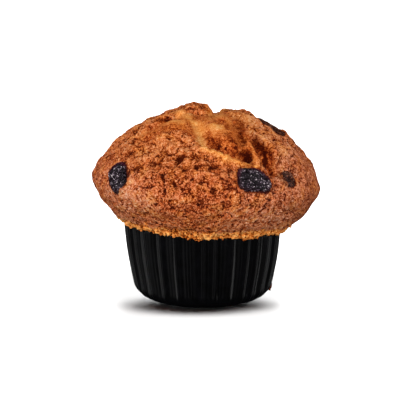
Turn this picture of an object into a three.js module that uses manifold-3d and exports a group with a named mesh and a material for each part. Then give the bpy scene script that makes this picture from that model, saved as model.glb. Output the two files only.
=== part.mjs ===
// A bakery muffin in its fluted paper case: one solid of cake with a burst, mushroom-shaped cap, the
// pleated case round its foot, and whole berries baked into pockets in the crust.
// Millimetres, +Z up. The origin is the centre of the case's floor, and the front faces -Y.
import * as THREE from "three";
import { mergeVertices } from "three/addons/utils/BufferGeometryUtils.js";
import Module from "manifold-3d";

// Paper case
const FLOOR_RADIUS = 19.9; // the flat that the muffin stands on
const CORNER_RADIUS = 7.5; // between the floor and the wall
const WALL_FLARE = 0.15; // growth in radius for each mm of height
const WALL_BELLY = 0.5; // how far the cake presses the middle of the wall outwards
const RIM_HEIGHT = 27.7; // mean height of the paper's edge
const RIM_SWELL = { height: 1.1, turn: -50, width: 30 }; // where the batter lifted it, in degrees
const FLUTES = 32;
const FLUTE_DEPTH = 1.1; // ridge to valley
const PAPER = 0.5;
const GAP = 0.3; // clearance between pieces that touch

// Cap
const LEAN = 2.2; // the cap sits this much lower at +X than at the axis, and higher at -X
const TIP = 1.0; // the same, higher in front and lower at the back
const NECK_RADIUS = 31.1; // where the cap's underside leaves the case
const WAIST_RADIUS = 43.6;
const WAIST_HEIGHT = 44.8;
const WAIST_SHIFT = 1.2; // the waist's centre, along X
const TOP_HEIGHT = 74.0;
const TOP_SHIFT = -0.2; // the summit, along X
const LEDGE_HEIGHT = RIM_HEIGHT + GAP; // where the cap starts, just over the paper's edge
const UNDERSIDE_BULGE = 1.7; // exponents of the two curves that meet at the waist
const DOME_BULGE = 1.5;
const DOME_FULLNESS = 0.56;

// Relief of the crust
const CRAGS = [
  { wavelength: 17, height: 0.34, seed: 1 },
  { wavelength: 7.5, height: 0.22, seed: 2 },
  { wavelength: 4.6, height: 0.12, seed: 3 },
];
const WAVES = 14; // plane waves summed for each size of crag
const UNDERSIDE_CRAGS = 0.6; // share of the crags' height that is left under the waist

// The cap has burst open as it rose. Plan view: the edge of the broken crust, round bare crumb.
const BURST = [
  [-27, -15], [-20, -20], [-8, -21.3], [-2.3, -26.2], [0, -30], [7, -32.8], [18, -33.2],
  [26, -29.5], [27, -24], [19.3, -16.2], [13, -9], [7.5, 3], [6, 14], [2.8, 15],
  [2, 3], [1, -6.5], [-5, -5.5], [-14.3, -9.3], [-24, -11],
];
const BURST_DEPTH = 1.3;
const BURST_EDGE = 1.1; // width of the step down from crust to crumb

// Ridges (height above 0) and cracks (below 0) that follow paths in plan
const FOLDS = [
  // lip of the front plate
  {
    height: 0.6,
    width: 1.9,
    path: [[-18, -21], [-8, -22.5], [-3.2, -27], [-0.8, -31], [6.5, -34], [17, -34.3], [22, -32]],
  },
  // lip of the rear plate, and of the right one
  { height: 0.6, width: 2.2, path: [[-20, -9], [-12, -6], [-6, -2.6], [0, -3.6]] },
  { height: 0.6, width: 2.0, path: [[17, -10], [22, -16], [28, -23]] },
  // spur of crumb between the seam and the right valley
  { height: 1.8, width: 1.9, path: [[15.5, -17], [17.6, -26], [19.4, -30.5]] },
  // valley from the summit, the foot of the front lip, and the pit at its end
  { height: -1.1, width: 2.4, path: [[-3, -12], [-1.2, -20], [0, -27], [1.5, -29.5]] },
  { height: -1.3, width: 1.8, path: [[1.5, -28], [5, -30.3], [10, -31.3], [14, -31.3]] },
  { height: -2.6, width: 2.1, path: [[15, -29.2], [15.9, -30.6]] },
  // seam on the left of the spur, and the valley on its right
  { height: -1.5, width: 1.7, path: [[11.5, -8], [13.6, -16], [13.9, -22], [15.2, -27]] },
  { height: -3.0, width: 2.4, path: [[18.6, -19], [20.2, -23.5], [22, -26.5], [25, -29.3]] },
  // notch over the summit, and the cracks that it runs into at the back
  { height: -1.5, width: 1.9, path: [[3.6, -9], [4.6, -2], [5.0, 6], [5.4, 15]] },
  { height: -1.5, width: 1.9, path: [[5.4, 15], [1, 22], [3, 30]] },
  { height: -1.4, width: 1.9, path: [[-11, 8], [-19, 13], [-23, 22]] },
  { height: -1.3, width: 1.9, path: [[14, 13], [22, 17], [25, 25]] },
];
const LUMPS = [
  { at: [6.2, -20.5], radius: [7.0, 7.5], height: 2.5 },
  { at: [11, -27.6], radius: [4.4, 3.4], height: 1.5 },
  { at: [9.5, -9], radius: [5.5, 6.5], height: 0.7 },
  { at: [15, 0], radius: [8.5, 10], height: 1.5 },
  { at: [9.5, 3], radius: [4.6, 9], height: -1.3 },
  { at: [31.5, 0], radius: [3.6, 8], height: 1.4 },
  { at: [-31.5, 0], radius: [3, 8], height: 0.8 },
  { at: [-13.5, 2], radius: [4.5, 8], height: 0.7 },
  { at: [-13, -15.5], radius: [10, 4.6], height: 0.7 },
  { at: [-1.5, -1.5], radius: [4.5, 4.0], height: 1.1 },
  { at: [-9.2, -33.2], radius: [2.3, 2.6], height: -1.5 },
  { at: [25, -2], radius: [7, 7], height: -0.3 },
];

// Berries: turn (degrees from +X) and height of the centre, half sizes along, across and through the
// crust, depth of the centre under the crust, roll (degrees) of the long way about the depth from
// level, and taper, the growth in width towards the long way's end
const BERRIES = [
  { name: "berry_left", turn: -141.8, height: 50.2, half: [5, 6.7, 4.2], sunk: 2.1, roll: 49, taper: -0.12 },
  { name: "berry_front", turn: -64.7, height: 51.6, half: [7.3, 5.3, 4], sunk: 2.3, roll: -27, taper: -0.24 },
  { name: "berry_right", turn: -42.8, height: 51.1, half: [4.5, 3.5, 3.8], sunk: 2.3, roll: 6, taper: 0.08 },
  { name: "berry_top_right", turn: -4, height: 65.8, half: [7.5, 6.0, 3.8], sunk: 2.9, roll: 90, taper: 0 },
  { name: "berry_rear", turn: 98, height: 57.5, half: [5.8, 4.9, 4.2], sunk: 2.4, roll: 20, taper: 0.1 },
  { name: "berry_rear_left", turn: 146, height: 50.5, half: [4.8, 5.6, 4.1], sunk: 2.5, roll: 30, taper: 0 },
  { name: "berry_rear_right", turn: 48, height: 45.5, half: [5.4, 4.5, 4], sunk: 2.5, roll: -8, taper: 0.1 },
];
const BERRY_SQUARENESS = 2.6; // 2 would be an ellipsoid
const BERRY_WRINKLE = 0.22;

// Mesh density
const STEPS_PER_FLUTE = 4;
const TURN_STEPS = FLUTES * STEPS_PER_FLUTE;
const CAP_STEP = 2.25; // size of the cap's triangles
const CORNER_STEPS = 3;
const WALL_STEPS = 2;

const COLOURS = {
  cake: { color: 0xa8602f, roughness: 0.9 },
  paper: { color: 0x0b0a0c, roughness: 0.45 },
  berry: { color: 0x241c26, roughness: 0.35 },
};

const { PI, sin, cos, atan, atan2, hypot, sqrt, exp, abs, min, max } = Math;
const { lerp, smoothstep, degToRad, radToDeg, euclideanModulo } = THREE.MathUtils;
const GOLDEN_ANGLE = PI * (3 - sqrt(5));

// --- Closed solids from rings -----------------------------------------------------------------

// Points of one ring, anticlockwise seen from above
function ring(count, pointAt) {
  return Array.from({ length: count }, (_, i) => pointAt((2 * PI * i) / count));
}

// Joins neighbouring rings with triangles. The rings may differ in count, and one of a single
// point closes an end.
function solidFromRings(rings) {
  const positions = rings.flat().flatMap((p) => [p.x, p.y, p.z]);
  const index = [];
  let start = 0;
  for (let k = 0; k + 1 < rings.length; k++) {
    const [below, above] = [rings[k].length, rings[k + 1].length];
    const next = start + below;
    let i = below === 1 ? 1 : 0;
    let j = above === 1 ? 1 : 0;
    while (i < below || j < above) {
      const stepBelow = j >= above || (i < below && (i + 1) * above <= (j + 1) * below);
      if (stepBelow) {
        index.push(start + (i % below), start + ((i + 1) % below), next + (j % above));
        i++;
      } else {
        index.push(start + (i % below), next + ((j + 1) % above), next + (j % above));
        j++;
      }
    }
    start = next;
  }
  const geometry = new THREE.BufferGeometry();
  geometry.setAttribute("position", new THREE.Float32BufferAttribute(positions, 3));
  geometry.setIndex(index);
  return geometry;
}

// --- Paper case -------------------------------------------------------------------------------

// How much lower the cap and the paper's edge sit at a turn than at the axis
const tilt = (turn) => LEAN * cos(turn) + TIP * sin(turn);

// How much the paper's edge, and the cap over it, is lifted at a turn
function swell(turn) {
  const away = euclideanModulo(radToDeg(turn) - RIM_SWELL.turn + 180, 360) - 180;
  return RIM_SWELL.height * exp(-((away / RIM_SWELL.width) ** 2));
}

const rimHeight = (turn) => RIM_HEIGHT - tilt(turn) + swell(turn);

// Flutes are uneven: they crowd together and spread out round the case
const fluteTurn = (phase) =>
  phase + 0.035 * sin(3 * phase + 1) + 0.02 * sin(7 * phase + 2) + 0.01 * sin(11 * phase);

// How far a flute lies inside the ridges' line: 0 on a ridge, 1 in a valley
const fluteInset = (phase) => (1 - cos(FLUTES * phase)) / 2;

// A point on the case's wall or rounded corner, moved inwards by inset. along runs from 0 at the
// edge of the flat floor, through 1 where the corner meets the wall, to 2 at the rim.
function casePoint(phase, along, inset) {
  const turn = fluteTurn(phase);
  const wallAngle = PI / 2 - atan(WALL_FLARE);
  const arc = wallAngle * min(along, 1);
  const bend = CORNER_RADIUS - inset;
  let radius = FLOOR_RADIUS + bend * sin(arc);
  let height = CORNER_RADIUS - bend * cos(arc);
  if (along > 1) {
    const foot = height;
    height = lerp(foot, rimHeight(turn), along - 1);
    radius += WALL_FLARE * (height - foot) + WALL_BELLY * sin(PI * (along - 1));
  }
  radius -= FLUTE_DEPTH * fluteInset(phase) * smoothstep(along, 0.15, 1.1);
  return new THREE.Vector3(radius * cos(turn), radius * sin(turn), height);
}

// Rings up the inside or the outside of the case, from its floor to its rim and lift past it
function caseRings(inset, lift = 0) {
  const alongs = [
    ...Array.from({ length: CORNER_STEPS }, (_, i) => i / CORNER_STEPS),
    ...Array.from({ length: WALL_STEPS + 1 }, (_, i) => 1 + i / WALL_STEPS),
  ];
  const centre = [new THREE.Vector3(0, 0, inset)];
  const rings = alongs.map((along) => ring(TURN_STEPS, (phase) => casePoint(phase, along, inset)));
  rings.at(-1).forEach((p) => (p.z += lift));
  return [centre, ...rings];
}

function paperCase() {
  return solidFromRings([...caseRings(0), ...caseRings(PAPER).reverse()]);
}

// --- Crust relief -----------------------------------------------------------------------------

// A smooth random field of one wavelength: plane waves in directions spread over a sphere
function bumps(p, wavelength, seed) {
  let sum = 0;
  for (let i = 0; i < WAVES; i++) {
    const dz = 1 - (2 * i + 1) / WAVES;
    const across = sqrt(1 - dz * dz);
    const turn = GOLDEN_ANGLE * i + seed;
    const distance = p.x * across * cos(turn) + p.y * across * sin(turn) + p.z * dz;
    sum += sin((2 * PI * distance) / wavelength + 1.7 * i * seed);
  }
  return sum / sqrt(WAVES / 2);
}

function distanceToSegment(x, y, [ax, ay], [bx, by]) {
  const [dx, dy] = [bx - ax, by - ay];
  const along = ((x - ax) * dx + (y - ay) * dy) / (dx * dx + dy * dy);
  const share = min(1, max(0, along));
  return hypot(x - ax - share * dx, y - ay - share * dy);
}

function distanceToPath(x, y, path) {
  return min(...path.slice(1).map((end, i) => distanceToSegment(x, y, path[i], end)));
}

// 1 on bare crumb, 0 on crust, with a smooth step between them
function burstShare(x, y) {
  const edges = BURST.map((a, i) => [a, BURST[(i + 1) % BURST.length]]);
  const crossings = edges.filter(
    ([[ax, ay], [bx, by]]) => ay > y !== by > y && x < ax + ((y - ay) * (bx - ax)) / (by - ay),
  ).length;
  const distance = min(...edges.map(([a, b]) => distanceToSegment(x, y, a, b)));
  const inside = crossings % 2 ? distance : -distance;
  return smoothstep(inside, -BURST_EDGE / 2, BURST_EDGE / 2);
}

// How far the surface stands out from the smooth cap at a point of it
function relief(p) {
  const upperSide = smoothstep(p.z, WAIST_HEIGHT, WAIST_HEIGHT + 6);
  let height = 0;
  for (const crag of CRAGS) height += crag.height * bumps(p, crag.wavelength, crag.seed);
  height *= lerp(UNDERSIDE_CRAGS, 1, upperSide);
  if (upperSide > 0) {
    let top = -BURST_DEPTH * burstShare(p.x, p.y);
    for (const fold of FOLDS) {
      top += fold.height * exp(-((distanceToPath(p.x, p.y, fold.path) / fold.width) ** 2));
    }
    for (const lump of LUMPS) {
      const [u, v] = [0, 1].map((k) => (p.getComponent(k) - lump.at[k]) / lump.radius[k]);
      top += lump.height * exp(-(u * u + v * v));
    }
    height += upperSide * top;
  }
  const aboveRim = p.z - rimHeight(atan2(p.y, p.x));
  return height * smoothstep(aboveRim, GAP, 7);
}

// --- Cap --------------------------------------------------------------------------------------

// The smooth cap's section, radius and height, from the neck through the waist to the summit
class CapSection extends THREE.Curve {
  getPoint(t, target = new THREE.Vector2()) {
    const waistShare = 0.3; // share of t spent on the underside
    if (t < waistShare) {
      const drop = 1 - t / waistShare;
      const radius = lerp(WAIST_RADIUS, NECK_RADIUS, drop ** UNDERSIDE_BULGE);
      return target.set(radius, lerp(WAIST_HEIGHT, LEDGE_HEIGHT, drop));
    }
    // The sine spends more of t near the waist and the summit, where the section turns fastest
    const climb = sin(((t - waistShare) / (1 - waistShare)) * (PI / 2));
    const radius = WAIST_RADIUS * (1 - climb ** DOME_BULGE) ** DOME_FULLNESS;
    return target.set(radius, lerp(WAIST_HEIGHT, TOP_HEIGHT, climb));
  }
}
const capSection = new CapSection();

// A point of the smooth cap: the section turned about the axis, then leaning and shifted
function smoothCapPoint(turn, section) {
  const up = smoothstep(section.y, WAIST_HEIGHT - 2, WAIST_HEIGHT + 14);
  const lift = swell(turn) * (1 - smoothstep(section.y, LEDGE_HEIGHT, LEDGE_HEIGHT + 9));
  const shift =
    section.y < WAIST_HEIGHT
      ? lerp(0, WAIST_SHIFT, (section.y - LEDGE_HEIGHT) / (WAIST_HEIGHT - LEDGE_HEIGHT))
      : lerp(WAIST_SHIFT, TOP_SHIFT, (section.y - WAIST_HEIGHT) / (TOP_HEIGHT - WAIST_HEIGHT));
  return new THREE.Vector3(
    section.x * cos(turn) + shift,
    section.x * sin(turn),
    section.y - tilt(turn) * (1 - up) + lift,
  );
}

// Point and outward direction on the cap at a turn and a place along the section, with its relief
function capPlace(turn, along) {
  const section = capSection.getPointAt(along);
  const tangent = capSection.getTangentAt(along);
  const outward = new THREE.Vector3(tangent.y * cos(turn), tangent.y * sin(turn), -tangent.x);
  const point = smoothCapPoint(turn, section);
  return { point: point.addScaledVector(outward, relief(point)), outward };
}

// The part in the case, the ledge over the paper's edge, and the cap
function cakeRings() {
  const foot = caseRings(PAPER + GAP, GAP);
  const ledge = ring(TURN_STEPS, (phase) => capPlace(fluteTurn(phase), 0).point);
  const rows = Math.round(capSection.getLength() / CAP_STEP);
  const cap = [];
  for (let row = 1; row < rows; row++) {
    const along = row / rows;
    const count = max(6, Math.round((2 * PI * capSection.getPointAt(along).x) / CAP_STEP));
    cap.push(ring(count, (turn) => capPlace(turn, along).point));
  }
  return [...foot, ledge, ...cap, [capPlace(0, 1).point]];
}

// --- Berries ----------------------------------------------------------------------------------

// Place along the cap's section at a height above the waist
function alongAtHeight(height) {
  let [low, high] = [0, 1];
  for (let i = 0; i < 30; i++) {
    const middle = (low + high) / 2;
    if (capSection.getPointAt(middle).y < height) low = middle;
    else high = middle;
  }
  return low;
}

// A wrinkled berry, swollen by grow for the pocket that holds it
function berryGeometry({ turn, height, half, sunk, roll, taper }, grow) {
  const geometry = mergeVertices(bareCopy(new THREE.IcosahedronGeometry(1, 2)));
  const position = geometry.attributes.position;
  const p = new THREE.Vector3();
  for (let i = 0; i < position.count; i++) {
    p.fromBufferAttribute(position, i);
    const wrinkle = BERRY_WRINKLE * bumps(p, 1.3, turn);
    const powers = p.toArray().reduce((sum, value) => sum + abs(value) ** BERRY_SQUARENESS, 0);
    p.divideScalar(powers ** (1 / BERRY_SQUARENESS));
    p.y *= 1 + taper * p.x;
    p.set(...half.map((size, k) => p.getComponent(k) * (size + wrinkle + grow)));
    position.setXYZ(i, p.x, p.y, p.z);
  }
  const { point, outward } = capPlace(degToRad(turn), alongAtHeight(height));
  const across = new THREE.Vector3(-sin(degToRad(turn)), cos(degToRad(turn)), 0);
  const upSlope = new THREE.Vector3().crossVectors(outward, across);
  geometry.rotateZ(degToRad(roll));
  geometry.applyMatrix4(new THREE.Matrix4().makeBasis(across, upSlope, outward));
  geometry.translate(...point.addScaledVector(outward, -sunk).toArray());
  return geometry;
}

// --- Booleans ---------------------------------------------------------------------------------

const wasm = await Module();
wasm.setup();

function bareCopy(geometry) {
  const copy = geometry.clone();
  copy.deleteAttribute("normal");
  copy.deleteAttribute("uv");
  return copy;
}

function toManifold(geometry) {
  const merged = mergeVertices(bareCopy(geometry));
  return new wasm.Manifold(
    new wasm.Mesh({
      numProp: 3,
      vertProperties: merged.attributes.position.array,
      triVerts: new Uint32Array(merged.index.array),
    }),
  );
}

function toGeometry(manifold) {
  const { vertProperties, triVerts } = manifold.getMesh();
  const geometry = new THREE.BufferGeometry();
  geometry.setAttribute("position", new THREE.BufferAttribute(vertProperties, 3));
  geometry.setIndex(new THREE.BufferAttribute(triVerts, 1));
  return geometry;
}

// The cake with a pocket for each berry
function cake() {
  let solid = toManifold(solidFromRings(cakeRings()));
  for (const berry of BERRIES) solid = solid.subtract(toManifold(berryGeometry(berry, GAP)));
  return toGeometry(solid);
}

// --- The part ---------------------------------------------------------------------------------

function piece(name, geometry, look) {
  const material = new THREE.MeshStandardMaterial({ ...look, metalness: 0, flatShading: true });
  const mesh = new THREE.Mesh(geometry, material);
  mesh.name = name;
  return mesh;
}

const muffin = new THREE.Group();
muffin.name = "muffin";
muffin.add(piece("cake", cake(), COLOURS.cake));
muffin.add(piece("paper_case", paperCase(), COLOURS.paper));
for (const berry of BERRIES) muffin.add(piece(berry.name, berryGeometry(berry, 0), COLOURS.berry));

export default muffin;
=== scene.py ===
"""Looks of a bakery muffin: a browned, burst cake in a black fluted paper case, with baked berries.

Shapes are worked out in millimetres in the frame of the CAD model, +Z up with the front at -Y, and
built in metres. The large forms repeat the model's own; crust, crumb, pleats and wrinkles are finer.
"""
import math

import bmesh
import bpy
import numpy as np
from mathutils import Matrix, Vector


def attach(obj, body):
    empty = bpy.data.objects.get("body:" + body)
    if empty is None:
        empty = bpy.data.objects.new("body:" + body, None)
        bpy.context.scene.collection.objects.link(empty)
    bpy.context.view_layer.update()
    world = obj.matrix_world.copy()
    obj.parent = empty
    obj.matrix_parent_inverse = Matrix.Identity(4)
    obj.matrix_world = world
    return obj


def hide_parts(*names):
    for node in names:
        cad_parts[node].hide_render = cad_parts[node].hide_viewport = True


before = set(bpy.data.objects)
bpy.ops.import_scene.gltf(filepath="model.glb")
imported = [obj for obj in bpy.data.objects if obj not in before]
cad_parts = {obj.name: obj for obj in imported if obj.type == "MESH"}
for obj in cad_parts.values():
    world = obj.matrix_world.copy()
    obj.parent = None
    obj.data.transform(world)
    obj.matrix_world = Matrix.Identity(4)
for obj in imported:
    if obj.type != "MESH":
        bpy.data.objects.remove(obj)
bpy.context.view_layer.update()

MM = 0.001
TAU = 2 * math.pi

# Paper case
FLOOR_RADIUS = 19.9
CORNER_RADIUS = 7.5
WALL_FLARE = 0.15
WALL_BELLY = 0.5
RIM_HEIGHT = 27.7
RIM_SWELL = (1.1, -50, 30)  # height, turn and width of where the batter lifted it
FLUTES = 32
FLUTE_DEPTH = 1.1
FLUTES_GROW = (0.15, 1.1)  # where up the case they grow to it, counted as in case_points
FLUTE_DRIFT = [(0.035, 3, 1), (0.02, 7, 2), (0.01, 11, 0)]  # waves that space them unevenly
PAPER = 0.2
MODEL_PAPER = 0.5
PLEAT_STEPS = 16  # points across one flute
PLEAT_SHARPNESS = 2.4
FLOOR_ROWS = 9
CORNER_ROWS = 14
WALL_ROWS = 28
GAP = 0.3

# Cap
LEAN = 2.2
TIP = 1.0
NECK_RADIUS = 31.1
WAIST_RADIUS = 43.6
WAIST_HEIGHT = 44.8
WAIST_SHIFT = 1.2
TOP_HEIGHT = 74.0
TOP_SHIFT = -0.2
LEDGE_HEIGHT = RIM_HEIGHT + GAP
UPPER_SIDE = (WAIST_HEIGHT, WAIST_HEIGHT + 6)  # heights between which the upper side's relief grows
LEVEL = (WAIST_HEIGHT - 2, WAIST_HEIGHT + 14)  # heights between which the tilt dies out
SWELL_REACH = 9  # height over the ledge up to which the rim's swell is felt
UNDERSIDE_BULGE = 1.7
DOME_BULGE = 1.5
DOME_FULLNESS = 0.56
UNDERSIDE_SHARE = 0.3  # share of the section's parameter that lies below the waist
CRUST_STEP = 0.41  # size of the crust's triangles
FOOT_STEPS = 4  # points across one flute on the part of the cake that the paper hides
FOOT_ROWS = (0, 1 / 3, 2 / 3, 1, 1.5, 2)  # its rows up the case, counted as in case_points

# Relief that the model has too
CRAGS = [(17, 0.34, 1), (7.5, 0.22, 2), (4.6, 0.12, 3)]  # wavelength, height, seed
WAVES = 14
UNDERSIDE_CRAGS = 0.6
WHOLE_RELIEF = 7  # height over the rim at which the relief is whole
BURST = [
    (-27, -15), (-20, -20), (-8, -21.3), (-2.3, -26.2), (0, -30), (7, -32.8), (18, -33.2),
    (26, -29.5), (27, -24), (19.3, -16.2), (13, -9), (7.5, 3), (6, 14), (2.8, 15),
    (2, 3), (1, -6.5), (-5, -5.5), (-14.3, -9.3), (-24, -11),
]
BURST_DEPTH = 1.3
BURST_EDGE = 1.1
FOLDS = [  # height, width, path
    (0.6, 1.9, [(-18, -21), (-8, -22.5), (-3.2, -27), (-0.8, -31), (6.5, -34), (17, -34.3), (22, -32)]),
    (0.6, 2.2, [(-20, -9), (-12, -6), (-6, -2.6), (0, -3.6)]),
    (0.6, 2.0, [(17, -10), (22, -16), (28, -23)]),
    (1.8, 1.9, [(15.5, -17), (17.6, -26), (19.4, -30.5)]),
    (-1.1, 2.4, [(-3, -12), (-1.2, -20), (0, -27), (1.5, -29.5)]),
    (-1.3, 1.8, [(1.5, -28), (5, -30.3), (10, -31.3), (14, -31.3)]),
    (-2.6, 2.1, [(15, -29.2), (15.9, -30.6)]),
    (-1.5, 1.7, [(11.5, -8), (13.6, -16), (13.9, -22), (15.2, -27)]),
    (-3.0, 2.4, [(18.6, -19), (20.2, -23.5), (22, -26.5), (25, -29.3)]),
    (-1.5, 1.9, [(3.6, -9), (4.6, -2), (5.0, 6), (5.4, 15)]),
    (-1.5, 1.9, [(5.4, 15), (1, 22), (3, 30)]),
    (-1.4, 1.9, [(-11, 8), (-19, 13), (-23, 22)]),
    (-1.3, 1.9, [(14, 13), (22, 17), (25, 25)]),
]
LUMPS = [  # x, y, radius along x, radius along y, height
    (6.2, -20.5, 7.0, 7.5, 2.5),
    (11, -27.6, 4.4, 3.4, 1.5),
    (9.5, -9, 5.5, 6.5, 0.7),
    (15, 0, 8.5, 10, 1.5),
    (9.5, 3, 4.6, 9, -1.3),
    (31.5, 0, 3.6, 8, 1.4),
    (-31.5, 0, 3, 8, 0.8),
    (-13.5, 2, 4.5, 8, 0.7),
    (-13, -15.5, 10, 4.6, 0.7),
    (-1.5, -1.5, 4.5, 4.0, 1.1),
    (-9.2, -33.2, 2.3, 2.6, -1.5),
    (25, -2, 7, 7, -0.3),
]

# Berries: name, turn, height, half sizes, depth under the crust, roll, taper
BERRIES = [
    ("berry_left", -141.8, 50.2, (5, 6.7, 4.2), 2.1, 49, -0.12),
    ("berry_front", -64.7, 51.6, (7.3, 5.3, 4), 2.3, -27, -0.24),
    ("berry_right", -42.8, 51.1, (4.5, 3.5, 3.8), 2.3, 6, 0.08),
    ("berry_top_right", -4, 65.8, (7.5, 6, 3.8), 2.9, 90, 0),
    ("berry_rear", 98, 57.5, (5.8, 4.9, 4.2), 2.4, 20, 0.1),
    ("berry_rear_left", 146, 50.5, (4.8, 5.6, 4.1), 2.5, 30, 0),
    ("berry_rear_right", 48, 45.5, (5.4, 4.5, 4), 2.5, -8, 0.1),
]
BERRY_SQUARENESS = 2.6
BERRY_RISE = 0.25  # how much of a berry's height is left above the crust
BERRY_SMOOTHNESS = 5  # subdivisions of its sphere
OPEN_SKIN = (0.3, 0.6)  # heights on that sphere between which the wrinkles begin
RED_RIM = (0.66, 0.82)  # how far out on it the red rim begins and is whole
OUT_OF_REACH = 9.0  # in footprints
COVER_DENT = 0.75  # how far batter over a berry pushes it in, in its half height
COVER_SOFTNESS = 0.12

FILMED = ("berry_right", "berry_top_right")  # berries with baked batter left on their skin
COVERS = [  # berry, direction from which batter lies over it, and where that starts, in berry sizes
    ("berry_front", 189, 0.85),
    ("berry_front", -61, 0.68),
    ("berry_front", 119, 0.93),
    ("berry_left", -15, 0.68),
    ("berry_left", -60, 0.78),
    ("berry_right", 172, 0.1),
    ("berry_rear", 60, 0.6),
    ("berry_rear_left", -80, 0.5),
    ("berry_rear_right", 150, 0.7),
]

# Crust that is finer than the model's
CLUMPS_BY_ZONE = (0.4, 1, 0.85, 0.5, 0.5)  # share below and on top, and losses to calm, burst and gold
GRAINS_BY_ZONE = (1.25, 0.75, 0.6, 0.5, 0.4)
GOLD = [  # share of pale crumb, width, path in plan
    (0.8, 3.0, [(-9.5, -6), (-6, -9)]),
    (1.0, 2.2, [(-6, -9), (-4.2, -13.5), (-2.6, -16)]),
    (1.0, 2.4, [(-1.8, -16.5), (-0.8, -19.5)]),
    (0.9, 1.7, [(-1.2, -20), (-1, -25)]),
    (1.0, 1.8, [(-0.6, -26), (-0.2, -28.5), (0.3, -31)]),
    (1.0, 1.0, [(0.3, -31.3), (2.8, -32.5), (5.3, -33.5), (8.3, -33.7), (11.3, -33.6)]),
    (1.0, 0.9, [(11.3, -33.8), (14.3, -34.5), (17.3, -33.2), (20.3, -33.8)]),
    (0.8, 2.9, [(3.4, -20.5), (6.2, -21.6)]),
    (0.4, 2.6, [(4.6, -24.6), (9, -25)]),
    (0.45, 1.3, [(17.8, -25.5), (18.4, -29), (19.2, -32)]),
    (0.8, 4.0, [(-12, -12.5), (-9, -15.5)]),
    (0.8, 4.5, [(4, -3), (6, -11)]),
    (0.5, 4.5, [(12, -3), (16, -8)]),
    (0.45, 2.6, [(9.3, -12), (10.4, -22)]),
    (0.4, 2.0, [(12.4, -21), (12.6, -26)]),
    (0.8, 3.0, [(4.8, 0), (5.2, 12)]),
]
RIDGES = [  # height, width, path in plan
    (0.7, 1.1, [(2.3, -4), (2.6, 3)]),
    (-0.6, 4.5, [(8.5, 6), (12.5, -2), (18, -4)]),
    (1.6, 1.0, [(0.4, -31.0), (2.8, -32.2), (5.3, -33.2), (8.3, -33.4)]),
    (1.1, 1.1, [(8.3, -33.4), (11.3, -33.4), (14.3, -33.6), (17.3, -32.6)]),
]
CREVICES = [  # path in plan, width, depth
    ([(-6.2, -5.2), (-4.4, -4.4), (-3.6, -4.9)], 0.55, 0.5),
    ([(-1.2, -3.8), (0.6, -5), (2.2, -4.6)], 0.55, 0.5),
    ([(-18.2, -8.2), (-15.4, -8.5), (-12.6, -9.2)], 0.9, 0.9),
    ([(-9.4, -10.6), (-8, -12)], 0.7, 0.5),
    ([(12.2, -8.8), (13.6, -9.8), (15.2, -11.4)], 0.6, 0.4),
    ([(11.4, -17.6), (12.8, -18), (14.2, -18.8)], 0.6, 0.45),
    ([(13.8, -19.5), (14.4, -22), (15.4, -24.6)], 0.45, 0.4),
    ([(1.4, -21.6), (1.9, -24.2), (3.2, -25.8), (5.4, -27.9)], 0.5, 0.45),
    ([(8.8, -19.8), (8.9, -22)], 0.9, 0.4),
    ([(19.4, -16.8), (20.6, -20.4)], 0.7, 0.7),
    ([(21.6, -19.8), (22.5, -22.4), (22.8, -24.8)], 0.8, 0.8),
    ([(24.0, -22.4), (25.6, -24.0)], 0.6, 0.4),
]
PITS = [  # x, y, z, radius, depth
    (16.2, -27.4, 59.8, 2.1, 1.0), (17.6, -28.9, 57.8, 1.2, 0.8), (5.6, -28.2, 62.6, 1.0, 0.9),
    (11.9, -27.2, 64.3, 0.7, 0.6), (12.4, -28.2, 62.5, 0.8, 0.6), (8.1, -28.8, 62.8, 0.7, 0.5),
    (-8.6, -31, 59.2, 1.5, 1.0), (-2.5, -33.3, 60.3, 0.8, 0.6), (1.3, -35, 59.3, 0.8, 0.7),
    (5.2, -36, 56.9, 0.9, 0.9), (-2.5, -37.3, 56.6, 0.8, 0.8), (20.4, -34.2, 56.2, 0.9, 0.9),
    (-10.2, -39.8, 51, 1.0, 0.9), (3.5, -42.1, 48.5, 1.2, 0.9), (-3.7, -40.2, 52.2, 0.9, 0.8),
    (5.3, -38.9, 53.8, 0.9, 0.7), (-14.2, -39.9, 48.8, 0.7, 0.7), (-3.7, -42.2, 48.5, 0.8, 0.8),
    (32.6, -25.4, 37.4, 0.8, 0.6), (-13, -24, 65.4, 0.8, 0.7), (-18.5, -27.5, 60.7, 0.8, 0.7),
    (-25.8, -8.2, 65.6, 0.8, 0.7),
]
PATCHES = [  # spots whose tone is raised or lowered, the first painted light on a slope left in shade: place, radius, tone
    ((15.5, -7, 67), 4, 0.14),
    ((9, -25, 64), 3.5, -0.1),
    ((-13.5, -40, 48), 5.5, -0.09),
    ((0.5, -42, 50), 9, -0.07),
    ((13.5, -40.5, 48), 5, -0.06),
    ((23, -35, 47), 5.5, -0.11),
    ((5, -38, 38), 9, 0.09),
    ((22, -32, 38), 9, 0.09),
    ((-27, -33, 42), 8, 0.13),
]
LIP_TONGUES = [(-154, 4, 0.6), (-94, 5, 1.0), (-82, 3, 0.3), (-57, 9, 0.9)]  # turn, width, extra drop
LIP_DROP = 0.25
LIP_RAGS = [(0.35, 6, 51), (0.4, 2.4, 52), (0.35, 1.1, 53)]  # height, size and seed of what makes it uneven
LIP_LIMITS = (-0.1, 3)
LIP_HOLD = 3.5  # how far up the section the hanging lip is felt
LIP_INSET = 0.6
RIM_CRUMBS = 140
RIM_CRUMB_SEED = 7
CRUMB_SMOOTHNESS = 2
CASE_CRUMBS = [  # crumbs stuck to the paper: place, half sizes, tone
    ((26.3, -2, 4.2), (0.6, 0.6, 1.5), 0.12),
    ((25.8, -2.6, 2.6), (0.5, 0.5, 0.6), 0.12),
    ((9.4, -19.6, 0.7), (1.6, 0.5, 0.4), 0.3),
]

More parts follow.
